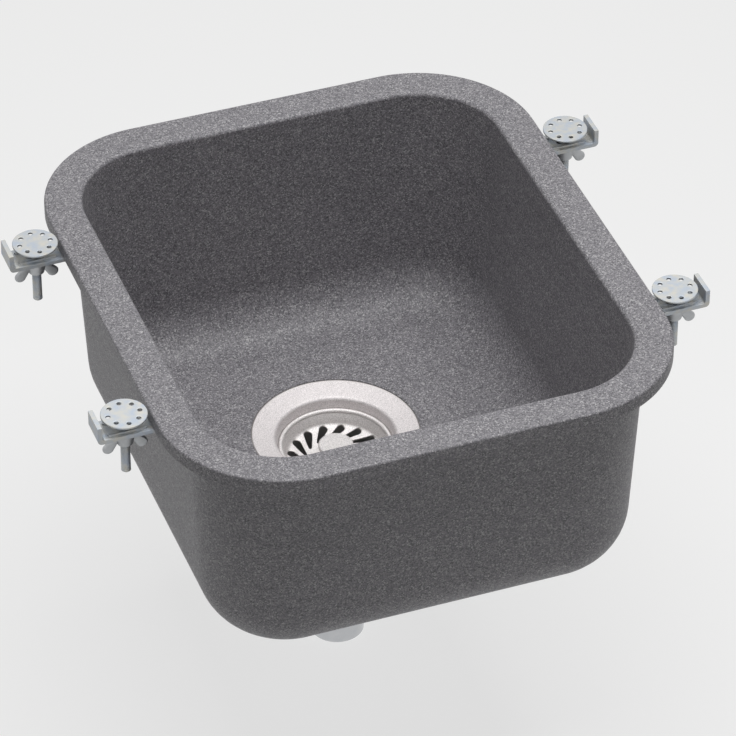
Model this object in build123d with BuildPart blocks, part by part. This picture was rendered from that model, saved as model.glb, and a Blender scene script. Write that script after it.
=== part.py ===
from build123d import *
import math
import os

# Bar sink for mounting under a countertop: a cast composite bowl, the basket strainer in its floor, the
# drain fittings below it, and the clips that press its rim up against the countertop.
# Millimetres. The origin is the centre of the opening in the plane of the rim. +Z is up, +X is to the right
# and +Y is to the back.

# Bowl
opening_width = 292.0  # inside, left to right, at the rim
opening_length = 343.0  # inside, front to back, at the rim
opening_corner = 57.0
bowl_depth = 165.1  # rim to floor
draft_angle = 3.0  # lean of the walls
wall = 8.0
floor_thickness = 10.0
floor_round = 35.0  # inside, between wall and floor
rim_width = 25.4
rim_thickness = 10.0
rim_lip_round = 3.0
rim_edge_round = 1.5
rim_root_round = 5.0

# Floor around the drain
drain_setback = 35.0  # drain's centre behind the bowl's centre
drain_hole_play = 1.85  # round the strainer's barrel
funnel_width = 33.0  # ring of floor that falls towards the drain
funnel_fall = 1.5
boss_margin = 10.0  # boss beyond the gasket
boss_drop = 3.5  # boss below the underside of the floor
boss_slope = 35.0

# Strainer body
barrel_radius = 42.6
barrel_length = 42.0
barrel_wall = 3.0  # barrel to throat
collar_height = 2.0  # plain collar under the flange
collar_slope = 1.0
mouth_flare = 1.2  # mouth beyond the throat
flange_width = 16.35
flange_thickness = 1.6
flange_fall = 3.0  # the flange dips towards its mouth
flange_clearance = 0.6
putty_thickness = 1.0
putty_width = 10.5
mouth_round = 3.0
throat_depth = 10.2
ledge_depth = 13.2
ledge_width = 2.2
cup_taper = 1.2
cup_depth = 53.0
cup_wall = 2.5
seat_width = 8.0  # sloping ring of the cup's floor round the stopper
seat_fall = 2.0
neck_wall = 3.2
neck_length = 17.0
neck_shoulder = 1.5  # shelf inside the neck that the spider lies on
neck_shelf_depth = 8.5  # shelf below the seat

# Spider and its bush
spider_thickness = 1.5
spider_ring = 3.0
spider_hub_radius = 7.0
spider_spokes = 4
spoke_width = 4.0
bush_wall = 1.5
bush_lip = 1.6

# Basket
bead_radius = 1.6
bead_gap = 0.35  # between bead and throat
seat_gap = 0.1
basket_sheet = 1.0
basket_wall_depth = 10.8  # top of the bead to the corner of the basket's floor
basket_wall_lean = 6.0  # throat to the corner of the basket's floor
basket_corner_round = 3.0
basket_dip = 3.4
basket_centre_radius = 12.0
slot_count = 16
slot_edge = 0.2  # slots' outer ends inside the corner of the floor
slot_start_radius = 16.9  # where a slot would start if it ran straight out
slot_outer_radius = 3.0
slot_inner_radius = 1.3
slot_swirl = 32.0
slot_start = -3.2

# Knob, stem and stopper
knob_radius = 12.0
knob_sink = 10.0  # top of the knob below the flange
knob_head = 3.6
knob_post_radius = 4.6
knob_edge_round = 1.2
knob_neck_fall = 2.0  # slope from the head to the post
knob_neck_round = 1.5
knob_foot_flare = 2.0
stem_radius = 2.5
stem_collar_radius = 4.0
stem_in_knob = 9.0
stem_tip = 3.0
stopper_play = 1.0  # round the stopper, on the cup's floor
stopper_thickness = 6.0
stopper_lip = 1.5
stopper_gap = 0.3
stopper_washer_margin = 9.0  # rubber beyond the metal washer
stopper_shoulder = 1.0  # flat rubber round the metal washer
stopper_shoulder_round = 2.5
stopper_washer_thickness = 1.2
stem_nut_height = 4.0
stem_nut_flats = 9.0
running_gap = 0.08  # radial, where one piece turns or slides in another

# Rings that clamp the strainer
gasket_width = 17.4  # beyond the barrel
gasket_thickness = 3.2
friction_washer_inset = 2.0  # inside the gasket's edge
friction_washer_thickness = 1.2
ring_clearance = 0.6
locknut_wall = 8.4
locknut_flange_width = 5.0
locknut_flange_height = 2.5
locknut_height = 10.0
locknut_chamfer = 1.0
locknut_ears = 6
ear_length = 7.0
ear_width = 9.0
thread_gap = 0.05

# Tailpiece and its slip nut
tube_radius = 19.05
tube_wall = 1.2
tube_length = 101.6
tube_flange_width = 3.95
tube_flange_thickness = 1.5
tube_flange_play = 0.7  # inside the thread of the slip nut
tail_washer_thickness = 2.0
tail_washer_sleeve = 10.0
tail_washer_wall = 1.2
slip_nut_wall = 5.3  # neck's thread to the flats
slip_nut_lip = 3.0
slip_nut_lip_gap = 0.8  # round the tube
slip_nut_overlap = 12.5  # thread of the neck inside the nut
slip_nut_chamfer = 2.5

# Clip sets
clip_spacing = 190.0  # along each long side
stud_gap = 16.0  # stud's centre beyond the rim's edge
stud_radius = 3.175
stud_length = 46.0
stud_chamfer = 0.8
pad_radius = 15.0
pad_thickness = 1.5
pad_holes = 8
pad_hole_radius = 1.6
pad_hole_circle = 10.5
weld_radius = 5.2
weld_slope = 30.0
clip_width = 20.0
clip_sheet = 3.0
clip_toe_gap = 1.5  # between the clip's toe and the round under the rim
clip_heel_gap = 2.5  # between pad and heel
clip_slot_play = 3.0  # half the slot's length beyond the stud
clip_bend_round = 1.5
clip_corner_round = 4.0
clip_hole_gap = 0.3
clip_rib_height = 1.2
clip_rib_width = 2.6
clip_rib_length = 26.0
clip_washer_radius = 8.0
clip_washer_thickness = 1.6
wing_hub_radius = 7.0
wing_hub_end_radius = 5.2
wing_hub_height = 9.0
wing_reach = 11.2
wing_drop = 11.0
wing_tip_radius = 3.8
wing_root_radius = 2.4
wing_root_drop = 1.0  # wing's upper edge below the hub's top
wing_thickness = 2.6

# Cutters run this far past the faces that they open
overcut = 1.0

os.makedirs("parts", exist_ok=True)


def write(piece, name):
    """Label a finished piece and write it."""
    piece.label = name
    export_step(piece, f"parts/{name}.step")


# The drain's section plane: x is the radius, y the height above the top edge of the strainer's flange.
flange_z = -(bowl_depth + funnel_fall)
drain_axis = Axis((0, drain_setback, 0), (0, 0, 1))
drain_section = Plane(origin=(0, drain_setback, flange_z), x_dir=(1, 0, 0), z_dir=(0, -1, 0))


def drain_plane(height):
    """Horizontal plane on the drain's axis at a height above the flange."""
    return Plane(origin=(0, drain_setback, flange_z + height), z_dir=(0, 0, 1))


def ring_section(points, rounds=()):
    """Closed section in the drain's plane, with (point, radius) for each corner that is rounded."""
    with BuildSketch(drain_section) as section:
        with BuildLine():
            Polyline(*points, close=True)
        make_face()
        for point, radius in rounds:
            fillet(section.vertices().sort_by_distance(point)[0], radius)
    return section.sketch


def flange_under(radius):
    """Height of the flange's underside at a radius."""
    slope = flange_fall / (flange_radius - mouth_radius)
    return -flange_thickness - slope * (flange_radius - radius)


def putty_under(radius):
    """Height of the recess in the bowl's floor that the putty lies in."""
    return flange_under(radius) - putty_thickness


# Radii that follow from the barrel of the strainer and from the tube
throat_radius = barrel_radius - barrel_wall
mouth_radius = throat_radius + mouth_flare
flange_radius = mouth_radius + flange_width
recess_radius = flange_radius + flange_clearance
drain_hole_radius = barrel_radius + drain_hole_play
cup_radius = throat_radius - ledge_width
cup_end_radius = cup_radius - cup_taper
seat_radius = cup_end_radius - seat_width
stopper_radius = seat_radius - stopper_play
stopper_washer_radius = stopper_radius - stopper_washer_margin
gasket_radius = barrel_radius + gasket_width
boss_radius = gasket_radius + boss_margin
friction_washer_radius = gasket_radius - friction_washer_inset
locknut_radius = barrel_radius + locknut_wall
locknut_flange_radius = locknut_radius + locknut_flange_width
bead_centre_radius = throat_radius - bead_gap - bead_radius
basket_floor_radius = throat_radius - basket_wall_lean
slot_reach = basket_floor_radius - slot_edge
tube_flange_radius = tube_radius + tube_flange_width
neck_radius = tube_flange_radius + tube_flange_play
outlet_radius = neck_radius - neck_wall
slip_nut_flats = 2 * (neck_radius + slip_nut_wall)

# Heights below the flange, worked out from the sizes
floor_h = funnel_fall
boss_under_h = floor_h - floor_thickness - boss_drop
gasket_under_h = boss_under_h - gasket_thickness
locknut_top_h = gasket_under_h - friction_washer_thickness
neck_end_h = -cup_depth - neck_length
spider_top_h = -cup_depth - neck_shelf_depth + spider_thickness
bead_centre_h = -ledge_depth + seat_gap + bead_radius
basket_corner_h = bead_centre_h + bead_radius - basket_wall_depth
basket_centre_h = basket_corner_h - basket_dip
stopper_under_h = -cup_depth + stopper_gap
stopper_top_h = stopper_under_h + stopper_thickness
stopper_washer_top_h = stopper_top_h + stopper_washer_thickness
stem_bore_radius = stem_radius + running_gap
stem_top_h = basket_centre_h + stem_in_knob
stem_end_h = spider_top_h - spider_thickness - stem_tip
tube_top_h = neck_end_h - tail_washer_thickness
tube_end_h = tube_top_h - tube_length
slip_nut_under_h = tube_top_h - tube_flange_thickness - slip_nut_lip

# The hollow of the bowl: drafted walls that run into the floor in one large round
with BuildPart() as bowl_hollow:
    with BuildSketch(Plane.XY):
        RectangleRounded(opening_width, opening_length, opening_corner)
    extrude(amount=-bowl_depth, taper=draft_angle)
    fillet(bowl_hollow.faces().sort_by(Axis.Z)[0].edges(), floor_round)

with BuildPart() as bowl:
    # Outside of the walls and floor
    with BuildSketch(Plane.XY):
        RectangleRounded(opening_width + 2 * wall, opening_length + 2 * wall, opening_corner + wall)
    extrude(amount=-(bowl_depth + floor_thickness), taper=draft_angle)
    fillet(bowl.faces().sort_by(Axis.Z)[0].edges(), floor_round + wall)
    # Rim
    with BuildSketch(Plane.XY):
        RectangleRounded(
            opening_width + 2 * rim_width,
            opening_length + 2 * rim_width,
            opening_corner + rim_width,
        )
    extrude(amount=-rim_thickness)
    rim_underside = bowl.faces().filter_by(Axis.Z).sort_by(Axis.Z)[-2]
    fillet(rim_underside.inner_wires()[0].edges(), rim_root_round)
    # Boss under the floor, where the strainer clamps
    with BuildSketch(drain_plane(boss_under_h)):
        Circle(boss_radius)
    extrude(amount=boss_drop + floor_thickness / 2, taper=-boss_slope)
    add(bowl_hollow.part, mode=Mode.SUBTRACT)
    # Fall of the floor, recess for the flange and drain hole
    with BuildSketch(drain_section):
        with BuildLine():
            funnel_edge = (recess_radius + funnel_width, floor_h)
            fall = TangentArc(funnel_edge, (recess_radius, 0), tangent=(-1, 0))
            Polyline(
                fall @ 1,
                (recess_radius, putty_under(recess_radius)),
                (drain_hole_radius, putty_under(drain_hole_radius)),
                (drain_hole_radius, boss_under_h - overcut),
                (0, boss_under_h - overcut),
                (0, floor_h + overcut),
                (recess_radius + funnel_width, floor_h + overcut),
                funnel_edge,
            )
        make_face()
    revolve(axis=drain_axis, mode=Mode.SUBTRACT)
    # Rounded lip inside the rim and eased edges outside it
    rim_top = bowl.faces().filter_by(Axis.Z).sort_by(Axis.Z)[-1]
    fillet(rim_top.inner_wires()[0].edges(), rim_lip_round)
    rim_top = bowl.faces().filter_by(Axis.Z).sort_by(Axis.Z)[-1]
    fillet(rim_top.outer_wire().edges(), rim_edge_round)
write(bowl.part, "bowl")

with BuildPart() as flange_putty:
    putty_inner = flange_radius - putty_width
    revolve(
        ring_section(
            [
                (putty_inner, flange_under(putty_inner)),
                (flange_radius, flange_under(flange_radius)),
                (flange_radius, putty_under(flange_radius)),
                (putty_inner, putty_under(putty_inner)),
            ]
        ),
        axis=drain_axis,
    )
write(flange_putty.part, "flange_putty")

# Strainer body: flange, bevelled mouth, ledge for the basket, cup, stopper seat and threaded neck
with BuildPart() as strainer_body:
    turn_radius = drain_hole_radius + putty_thickness / 2
    collar_radius = (drain_hole_radius + barrel_radius) / 2
    collar_h = flange_under(collar_radius) - collar_height
    shelf_h = -cup_depth - neck_shelf_depth
    revolve(
        ring_section(
            [
                (flange_radius, -flange_thickness),
                (flange_radius, 0),
                (mouth_radius, -flange_fall),
                (throat_radius, -throat_depth),
                (throat_radius, -ledge_depth),
                (cup_radius, -ledge_depth),
                (cup_end_radius, -cup_depth + seat_fall),
                (seat_radius, -cup_depth),
                (outlet_radius, -cup_depth),
                (outlet_radius, shelf_h),
                (outlet_radius - neck_shoulder, shelf_h),
                (outlet_radius - neck_shoulder, neck_end_h),
                (neck_radius, neck_end_h),
                (neck_radius, -cup_depth - cup_wall),
                (cup_end_radius, -cup_depth - cup_wall),
                (cup_end_radius + cup_wall, -cup_depth + 2 * cup_wall),
                (barrel_radius, -barrel_length),
                (barrel_radius, collar_h - collar_slope),
                (collar_radius, collar_h),
                (turn_radius, flange_under(turn_radius)),
            ],
            rounds=[
                ((flange_radius, 0), flange_thickness / 2),
                ((mouth_radius, -flange_fall), mouth_round),
                ((throat_radius, -throat_depth), mouth_round),
                ((cup_end_radius, -cup_depth + seat_fall), 2 * cup_wall),
                ((cup_end_radius, -cup_depth - cup_wall), cup_wall),
            ],
        ),
        axis=drain_axis,
    )
write(strainer_body.part, "strainer_body")

# Spider in the neck: a ring, spokes and a hub with the bush's hole
with BuildPart() as strainer_crossbar:
    ring_radius = outlet_radius - running_gap
    bush_radius = stem_bore_radius + bush_wall
    with BuildSketch(drain_plane(spider_top_h)):
        Circle(ring_radius)
        Circle(ring_radius - spider_ring, mode=Mode.SUBTRACT)
        Circle(spider_hub_radius)
        with PolarLocations(0, spider_spokes):
            Rectangle(ring_radius - spider_ring / 2, spoke_width, align=(Align.MIN, Align.CENTER))
        Circle(bush_radius, mode=Mode.SUBTRACT)
    extrude(amount=-spider_thickness)
write(strainer_crossbar.part, "strainer_crossbar")

with BuildPart() as stem_bush:
    revolve(
        ring_section(
            [
                (stem_bore_radius, spider_top_h + bush_lip),
                (bush_radius + bush_lip, spider_top_h + bush_lip),
                (bush_radius + bush_lip, spider_top_h),
                (bush_radius, spider_top_h),
                (bush_radius, spider_top_h - spider_thickness - bush_lip),
                (stem_bore_radius, spider_top_h - spider_thickness - bush_lip),
            ]
        ),
        axis=drain_axis,
    )
write(stem_bush.part, "stem_bush")

# Basket: a dished pan under a rolled bead, with swirled teardrop slots
with BuildPart() as basket:
    corner_out = basket_floor_radius + basket_sheet
    revolve(
        ring_section(
            [
                (bead_centre_radius - basket_sheet, bead_centre_h),
                (basket_floor_radius, basket_corner_h),
                (basket_centre_radius, basket_centre_h),
                (stem_radius, basket_centre_h),
                (stem_radius, basket_centre_h - basket_sheet),
                (basket_centre_radius, basket_centre_h - basket_sheet),
                (corner_out, basket_corner_h - basket_sheet),
                (bead_centre_radius, bead_centre_h),
            ],
            rounds=[
                ((basket_floor_radius, basket_corner_h), basket_corner_round),
                ((corner_out, basket_corner_h - basket_sheet), basket_corner_round + basket_sheet),
            ],
        ),
        axis=drain_axis,
    )
    with BuildSketch(drain_section):
        with Locations((bead_centre_radius, bead_centre_h)):
            Circle(bead_radius)
    revolve(axis=drain_axis)
    # One slot is the hull of a large circle outside and a small one inside
    outer_centre = slot_reach - slot_outer_radius
    slot_run = outer_centre - slot_start_radius - slot_inner_radius
    swirl = math.radians(slot_swirl)
    with BuildSketch(drain_plane(basket_centre_h - 2 * basket_sheet)):
        with PolarLocations(0, slot_count, start_angle=slot_start):
            with BuildSketch(mode=Mode.PRIVATE) as slot:
                with Locations((outer_centre, 0)):
                    Circle(slot_outer_radius)
                with Locations((outer_centre - slot_run * math.cos(swirl), slot_run * math.sin(swirl))):
                    Circle(slot_inner_radius)
                make_hull()
            add(slot.sketch)
    extrude(amount=basket_wall_depth + basket_dip, mode=Mode.SUBTRACT)
write(basket.part, "basket")

with BuildPart() as basket_knob:
    knob_top_h = -knob_sink
    head_under_h = knob_top_h - knob_head
    revolve(
        ring_section(
            [
                (0, knob_top_h),
                (knob_radius, knob_top_h),
                (knob_radius, head_under_h),
                (knob_post_radius, head_under_h - knob_neck_fall),
                (knob_post_radius, basket_centre_h + knob_foot_flare),
                (knob_post_radius + knob_foot_flare, basket_centre_h),
                (stem_radius, basket_centre_h),
                (stem_radius, stem_top_h),
                (0, stem_top_h),
            ],
            rounds=[
                ((knob_radius, knob_top_h), knob_edge_round),
                ((knob_radius, head_under_h), knob_edge_round),
                ((knob_post_radius, head_under_h - knob_neck_fall), knob_neck_round),
            ],
        ),
        axis=drain_axis,
    )
write(basket_knob.part, "basket_knob")

# Stem: through the knob, basket, stopper and bush, with a collar under the basket
with BuildPart() as basket_stem:
    collar_top_h = basket_centre_h - basket_sheet
    collar_end_h = stopper_washer_top_h + running_gap
    revolve(
        ring_section(
            [
                (0, stem_top_h),
                (stem_radius, stem_top_h),
                (stem_radius, collar_top_h),
                (stem_collar_radius, collar_top_h),
                (stem_collar_radius, collar_end_h),
                (stem_radius, collar_end_h),
                (stem_radius, stem_end_h + stem_radius),
                (0, stem_end_h),
            ]
        ),
        axis=drain_axis,
    )
write(basket_stem.part, "basket_stem")

with BuildPart() as stopper_washer:
    revolve(
        ring_section(
            [
                (stem_bore_radius, stopper_washer_top_h),
                (stopper_washer_radius, stopper_washer_top_h),
                (stopper_washer_radius, stopper_top_h),
                (stem_bore_radius, stopper_top_h),
            ]
        ),
        axis=drain_axis,
    )
write(stopper_washer.part, "stopper_washer")

# Rubber stopper: a thick disc whose edge thins to a lip
with BuildPart() as stopper:
    shoulder_radius = stopper_washer_radius + stopper_shoulder
    revolve(
        ring_section(
            [
                (stem_bore_radius, stopper_top_h),
                (shoulder_radius, stopper_top_h),
                (stopper_radius, stopper_under_h + stopper_lip),
                (stopper_radius, stopper_under_h),
                (stem_bore_radius, stopper_under_h),
            ],
            rounds=[((shoulder_radius, stopper_top_h), stopper_shoulder_round)],
        ),
        axis=drain_axis,
    )
write(stopper.part, "stopper")

with BuildPart() as stem_nut:
    stem_nut_top_h = stopper_under_h - running_gap
    with BuildSketch(drain_plane(stem_nut_top_h)):
        RegularPolygon(stem_nut_flats / 2, 6, major_radius=False)
        Circle(stem_radius, mode=Mode.SUBTRACT)
    extrude(amount=-stem_nut_height)
write(stem_nut.part, "stem_nut")


def flat_ring(inner, outer, top, thickness):
    """Section of a plain washer on the drain's axis."""
    return ring_section(
        [(inner, top), (outer, top), (outer, top - thickness), (inner, top - thickness)]
    )


with BuildPart() as rubber_gasket:
    revolve(
        flat_ring(barrel_radius + ring_clearance, gasket_radius, boss_under_h, gasket_thickness),
        axis=drain_axis,
    )
write(rubber_gasket.part, "rubber_gasket")

with BuildPart() as friction_washer:
    revolve(
        flat_ring(
            barrel_radius + ring_clearance,
            friction_washer_radius,
            gasket_under_h,
            friction_washer_thickness,
        ),
        axis=drain_axis,
    )
write(friction_washer.part, "friction_washer")

# Locknut: a ring with a thin flange above and ears round it
with BuildPart() as locknut:
    with BuildSketch(drain_plane(locknut_top_h)):
        Circle(locknut_flange_radius)
    extrude(amount=-locknut_flange_height)
    with BuildSketch(drain_plane(locknut_top_h)):
        Circle(locknut_radius)
        with PolarLocations(0, locknut_ears):
            Rectangle(locknut_radius + ear_length, ear_width, align=(Align.MIN, Align.CENTER))
    extrude(amount=-locknut_height)
    chamfer(locknut.faces().sort_by(Axis.Z)[0].edges(), locknut_chamfer)
    with BuildSketch(drain_plane(locknut_top_h)):
        Circle(barrel_radius + thread_gap)
    extrude(amount=-locknut_height, mode=Mode.SUBTRACT)
write(locknut.part, "locknut")

# Nylon washer in the mouth of the tailpiece, with a sleeve that goes down inside it
with BuildPart() as tailpiece_washer:
    sleeve_radius = tube_radius - tube_wall - thread_gap
    revolve(
        ring_section(
            [
                (sleeve_radius - tail_washer_wall, neck_end_h),
                (tube_flange_radius, neck_end_h),
                (tube_flange_radius, tube_top_h),
                (sleeve_radius, tube_top_h),
                (sleeve_radius, tube_top_h - tail_washer_sleeve),
                (sleeve_radius - tail_washer_wall, tube_top_h - tail_washer_sleeve),
            ]
        ),
        axis=drain_axis,
    )
write(tailpiece_washer.part, "tailpiece_washer")

with BuildPart() as tailpiece:
    tube_bore = tube_radius - tube_wall
    flange_end_h = tube_top_h - tube_flange_thickness
    revolve(
        ring_section(
            [
                (tube_bore, tube_top_h),
                (tube_flange_radius, tube_top_h),
                (tube_flange_radius, flange_end_h),
                (tube_radius, flange_end_h),
                (tube_radius, tube_end_h),
                (tube_bore, tube_end_h),
            ]
        ),
        axis=drain_axis,
    )
write(tailpiece.part, "tailpiece")

# Slip nut: hexagon with turned corners, threaded over the neck, its lip under the tailpiece's flange
with BuildPart() as coupling_nut:
    nut_top_h = neck_end_h + slip_nut_overlap
    nut_corner = slip_nut_flats / 2 / math.cos(math.pi / 6)
    with BuildSketch(drain_plane(slip_nut_under_h)):
        RegularPolygon(slip_nut_flats / 2, 6, major_radius=False)
    extrude(amount=nut_top_h - slip_nut_under_h)
    revolve(
        ring_section(
            [
                (0, nut_top_h),
                (nut_corner - slip_nut_chamfer, nut_top_h),
                (nut_corner, nut_top_h - slip_nut_chamfer / 2),
                (nut_corner, slip_nut_under_h + slip_nut_chamfer / 2),
                (nut_corner - slip_nut_chamfer, slip_nut_under_h),
                (0, slip_nut_under_h),
            ]
        ),
        axis=drain_axis,
        mode=Mode.INTERSECT,
    )
    revolve(
        ring_section(
            [
                (0, nut_top_h + overcut),
                (neck_radius + thread_gap, nut_top_h + overcut),
                (neck_radius + thread_gap, slip_nut_under_h + slip_nut_lip),
                (tube_radius + slip_nut_lip_gap, slip_nut_under_h + slip_nut_lip),
                (tube_radius + slip_nut_lip_gap, slip_nut_under_h - overcut),
                (0, slip_nut_under_h - overcut),
            ]
        ),
        axis=drain_axis,
        mode=Mode.SUBTRACT,
    )
write(coupling_nut.part, "coupling_nut")

# Clip sets: two on each long side. In a set's frame x points away from the bowl.
stud_offset = opening_width / 2 + rim_width + stud_gap
clip_top = -rim_thickness
clip_washer_top = clip_top - clip_sheet
wing_nut_top = clip_washer_top - clip_washer_thickness
heel_inner = pad_radius + clip_heel_gap
toe_reach = stud_gap + rim_width - wall - rim_root_round - clip_toe_gap


def level(side, y, height):
    """Horizontal plane through a stud's axis, x pointing outwards."""
    return Plane(origin=(side * stud_offset, y, height), x_dir=(side, 0, 0), z_dir=(0, 0, 1))


def upright(side, y, height):
    """Vertical plane through a stud's axis: x outwards, y up."""
    return Plane(origin=(side * stud_offset, y, height), x_dir=(side, 0, 0), z_dir=(0, -side, 0))


for column, side in (("left", -1), ("right", 1)):
    for row, y in (("front", -clip_spacing / 2), ("back", clip_spacing / 2)):
        place = f"{row}_{column}"

        # Stud: a threaded rod on a perforated pad that is bonded to the countertop
        with BuildPart() as stud:
            with BuildSketch(level(side, y, 0)):
                Circle(pad_radius)
                with PolarLocations(pad_hole_circle, pad_holes):
                    Circle(pad_hole_radius, mode=Mode.SUBTRACT)
            extrude(amount=-pad_thickness)
            with BuildSketch(level(side, y, -pad_thickness)):
                Circle(weld_radius)
            extrude(amount=-pad_thickness, taper=weld_slope)
            with BuildSketch(level(side, y, 0)):
                Circle(stud_radius)
            extrude(amount=-stud_length)
            chamfer(stud.faces().sort_by(Axis.Z)[0].edges(), stud_chamfer)
        write(stud.part, f"stud_{place}")

        # Clip: a slotted plate under the rim whose heel stands up to the countertop
        with BuildPart() as clip:
            with BuildSketch(upright(side, y, 0)):
                with BuildLine():
                    Polyline(
                        (-toe_reach, clip_top),
                        (heel_inner, clip_top),
                        (heel_inner, 0),
                        (heel_inner + clip_sheet, 0),
                        (heel_inner + clip_sheet, clip_top - clip_sheet),
                        (-toe_reach, clip_top - clip_sheet),
                        close=True,
                    )
                make_face()
            extrude(amount=clip_width / 2, both=True)
            bend = clip.edges().filter_by(Axis.Y)
            inside_bend = Vector(side * (stud_offset + heel_inner), y, clip_top)
            outside_bend = inside_bend + Vector(side * clip_sheet, 0, -clip_sheet)
            fillet(bend.sort_by_distance(inside_bend)[0], clip_bend_round)
            bend = clip.edges().filter_by(Axis.Y)
            fillet(bend.sort_by_distance(outside_bend)[0], clip_bend_round + clip_sheet / 2)
            toe_end = Vector(side * (stud_offset - toe_reach), y, clip_top)
            toe_corners = clip.edges().filter_by(Axis.Z).sort_by_distance(toe_end)[:2]
            fillet(toe_corners, clip_corner_round)
            with BuildSketch(level(side, y, clip_top)):
                SlotCenterToCenter(2 * clip_slot_play, 2 * (stud_radius + clip_hole_gap))
            extrude(amount=-clip_sheet, mode=Mode.SUBTRACT)
            # Stiffening ribs beside the slot
            rib_offset = stud_radius + clip_hole_gap + clip_rib_width
            with BuildSketch(level(side, y, clip_top)):
                with GridLocations(0, 2 * rib_offset, 1, 2):
                    SlotOverall(clip_rib_length, clip_rib_width)
            extrude(amount=clip_rib_height)
        write(clip.part, f"clip_{place}")

        with BuildPart() as clip_washer:
            with BuildSketch(level(side, y, clip_washer_top)):
                Circle(clip_washer_radius)
                Circle(stud_radius + running_gap, mode=Mode.SUBTRACT)
            extrude(amount=-clip_washer_thickness)
        write(clip_washer.part, f"clip_washer_{place}")

        # Wing nut: a tapered hub with two wings that hang beside the stud
        with BuildPart() as wing_nut:
            with BuildSketch(level(side, y, wing_nut_top)):
                Circle(wing_hub_radius)
            with BuildSketch(level(side, y, wing_nut_top - wing_hub_height)):
                Circle(wing_hub_end_radius)
            loft(ruled=True)
            with BuildSketch(upright(side, y, wing_nut_top)):
                for hand in (-1, 1):
                    with BuildSketch(mode=Mode.PRIVATE) as wing:
                        with Locations((hand * wing_hub_end_radius, -wing_root_radius - wing_root_drop)):
                            Circle(wing_root_radius)
                        with Locations((hand * wing_reach, -wing_drop)):
                            Circle(wing_tip_radius)
                        make_hull()
                    add(wing.sketch)
            extrude(amount=wing_thickness / 2, both=True)
            with BuildSketch(level(side, y, wing_nut_top)):
                Circle(stud_radius + running_gap)
            extrude(amount=-wing_drop - wing_hub_height, mode=Mode.SUBTRACT)
        write(wing_nut.part, f"wing_nut_{place}")
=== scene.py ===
import math

import bmesh
import bpy
import numpy as np
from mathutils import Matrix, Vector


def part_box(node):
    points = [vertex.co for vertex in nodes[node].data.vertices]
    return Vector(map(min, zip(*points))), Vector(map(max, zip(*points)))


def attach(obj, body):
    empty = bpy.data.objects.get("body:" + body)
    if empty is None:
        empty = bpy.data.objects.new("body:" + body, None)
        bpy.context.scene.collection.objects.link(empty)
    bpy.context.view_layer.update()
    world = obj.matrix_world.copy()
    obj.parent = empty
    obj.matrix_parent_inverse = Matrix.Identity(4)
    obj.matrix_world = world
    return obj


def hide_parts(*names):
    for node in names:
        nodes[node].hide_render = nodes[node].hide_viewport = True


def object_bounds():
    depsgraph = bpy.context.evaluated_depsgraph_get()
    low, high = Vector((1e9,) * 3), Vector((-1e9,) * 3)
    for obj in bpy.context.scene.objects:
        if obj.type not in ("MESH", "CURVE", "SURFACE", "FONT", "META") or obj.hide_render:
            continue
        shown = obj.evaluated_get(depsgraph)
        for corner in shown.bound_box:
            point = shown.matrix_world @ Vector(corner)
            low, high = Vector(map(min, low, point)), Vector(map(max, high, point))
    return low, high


# Bar sink for mounting under a countertop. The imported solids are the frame; the pieces below give them their
# finished surfaces: cast and rounded edges, pressed slots, cut threads, and the material of each.
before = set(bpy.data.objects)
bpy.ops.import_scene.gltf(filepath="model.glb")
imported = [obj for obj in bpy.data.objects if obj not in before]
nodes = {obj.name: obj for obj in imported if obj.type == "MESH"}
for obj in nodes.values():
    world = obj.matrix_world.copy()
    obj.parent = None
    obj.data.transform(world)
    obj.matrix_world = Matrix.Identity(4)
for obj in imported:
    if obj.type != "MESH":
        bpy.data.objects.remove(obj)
cad_box = [list(corner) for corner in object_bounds()]

# Camera: the photograph's direction and distance, with the whole sink in the picture
azimuth, elevation = math.radians(-20.15), math.radians(38.3)
camera_distance = 3.165
picture_width = 0.486  # metres across the picture, at the point aimed at
aim = (0.006, -0.012, -0.078)

camera_data = bpy.data.cameras.new("camera")
camera = bpy.data.objects.new("camera", camera_data)
bpy.context.scene.collection.objects.link(camera)
away = np.array(
    [
        math.sin(azimuth) * math.cos(elevation),
        -math.cos(azimuth) * math.cos(elevation),
        math.sin(elevation),
    ]
)
camera.location = np.array(aim) + away * camera_distance
camera.rotation_euler = (math.pi / 2 - elevation, 0, azimuth)
camera_data.lens = camera_data.sensor_width * camera_distance / picture_width
camera_data.clip_start, camera_data.clip_end = 0.1, 20  # metres
bpy.context.scene.camera = camera

# Light: one large soft panel overhead, a little to the right, and a pale room all round
panel_size, panel_height, panel_shift = 1.3, 1.35, 0.10  # metres
panel_power = 18.7  # watts
room_light = 0.08  # strength with which the room lights the sink; it is seen at a strength of 1


def srgb(code):
    """Linear colour of an sRGB hex code. A value c up to 0.04045 becomes c / 12.92, and one above it becomes
    ((c + 0.055) / 1.055) ** 2.4."""
    value = np.array([int(code[i : i + 2], 16) for i in (1, 3, 5)]) / 255
    linear = np.where(value <= 0.04045, value / 12.92, ((value + 0.055) / 1.055) ** 2.4)
    return (*linear.tolist(), 1.0)


def add(tree, kind, settings=None, inputs=None):
    """One shader node: settings are its own properties, an input is a value or the socket that feeds it."""
    made = tree.nodes.new(kind)
    for key, value in (settings or {}).items():
        setattr(made, key, value)
    for key, value in (inputs or {}).items():
        if isinstance(value, bpy.types.NodeSocket):
            tree.links.new(value, made.inputs[key])
        else:
            made.inputs[key].default_value = value
    return made


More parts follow.
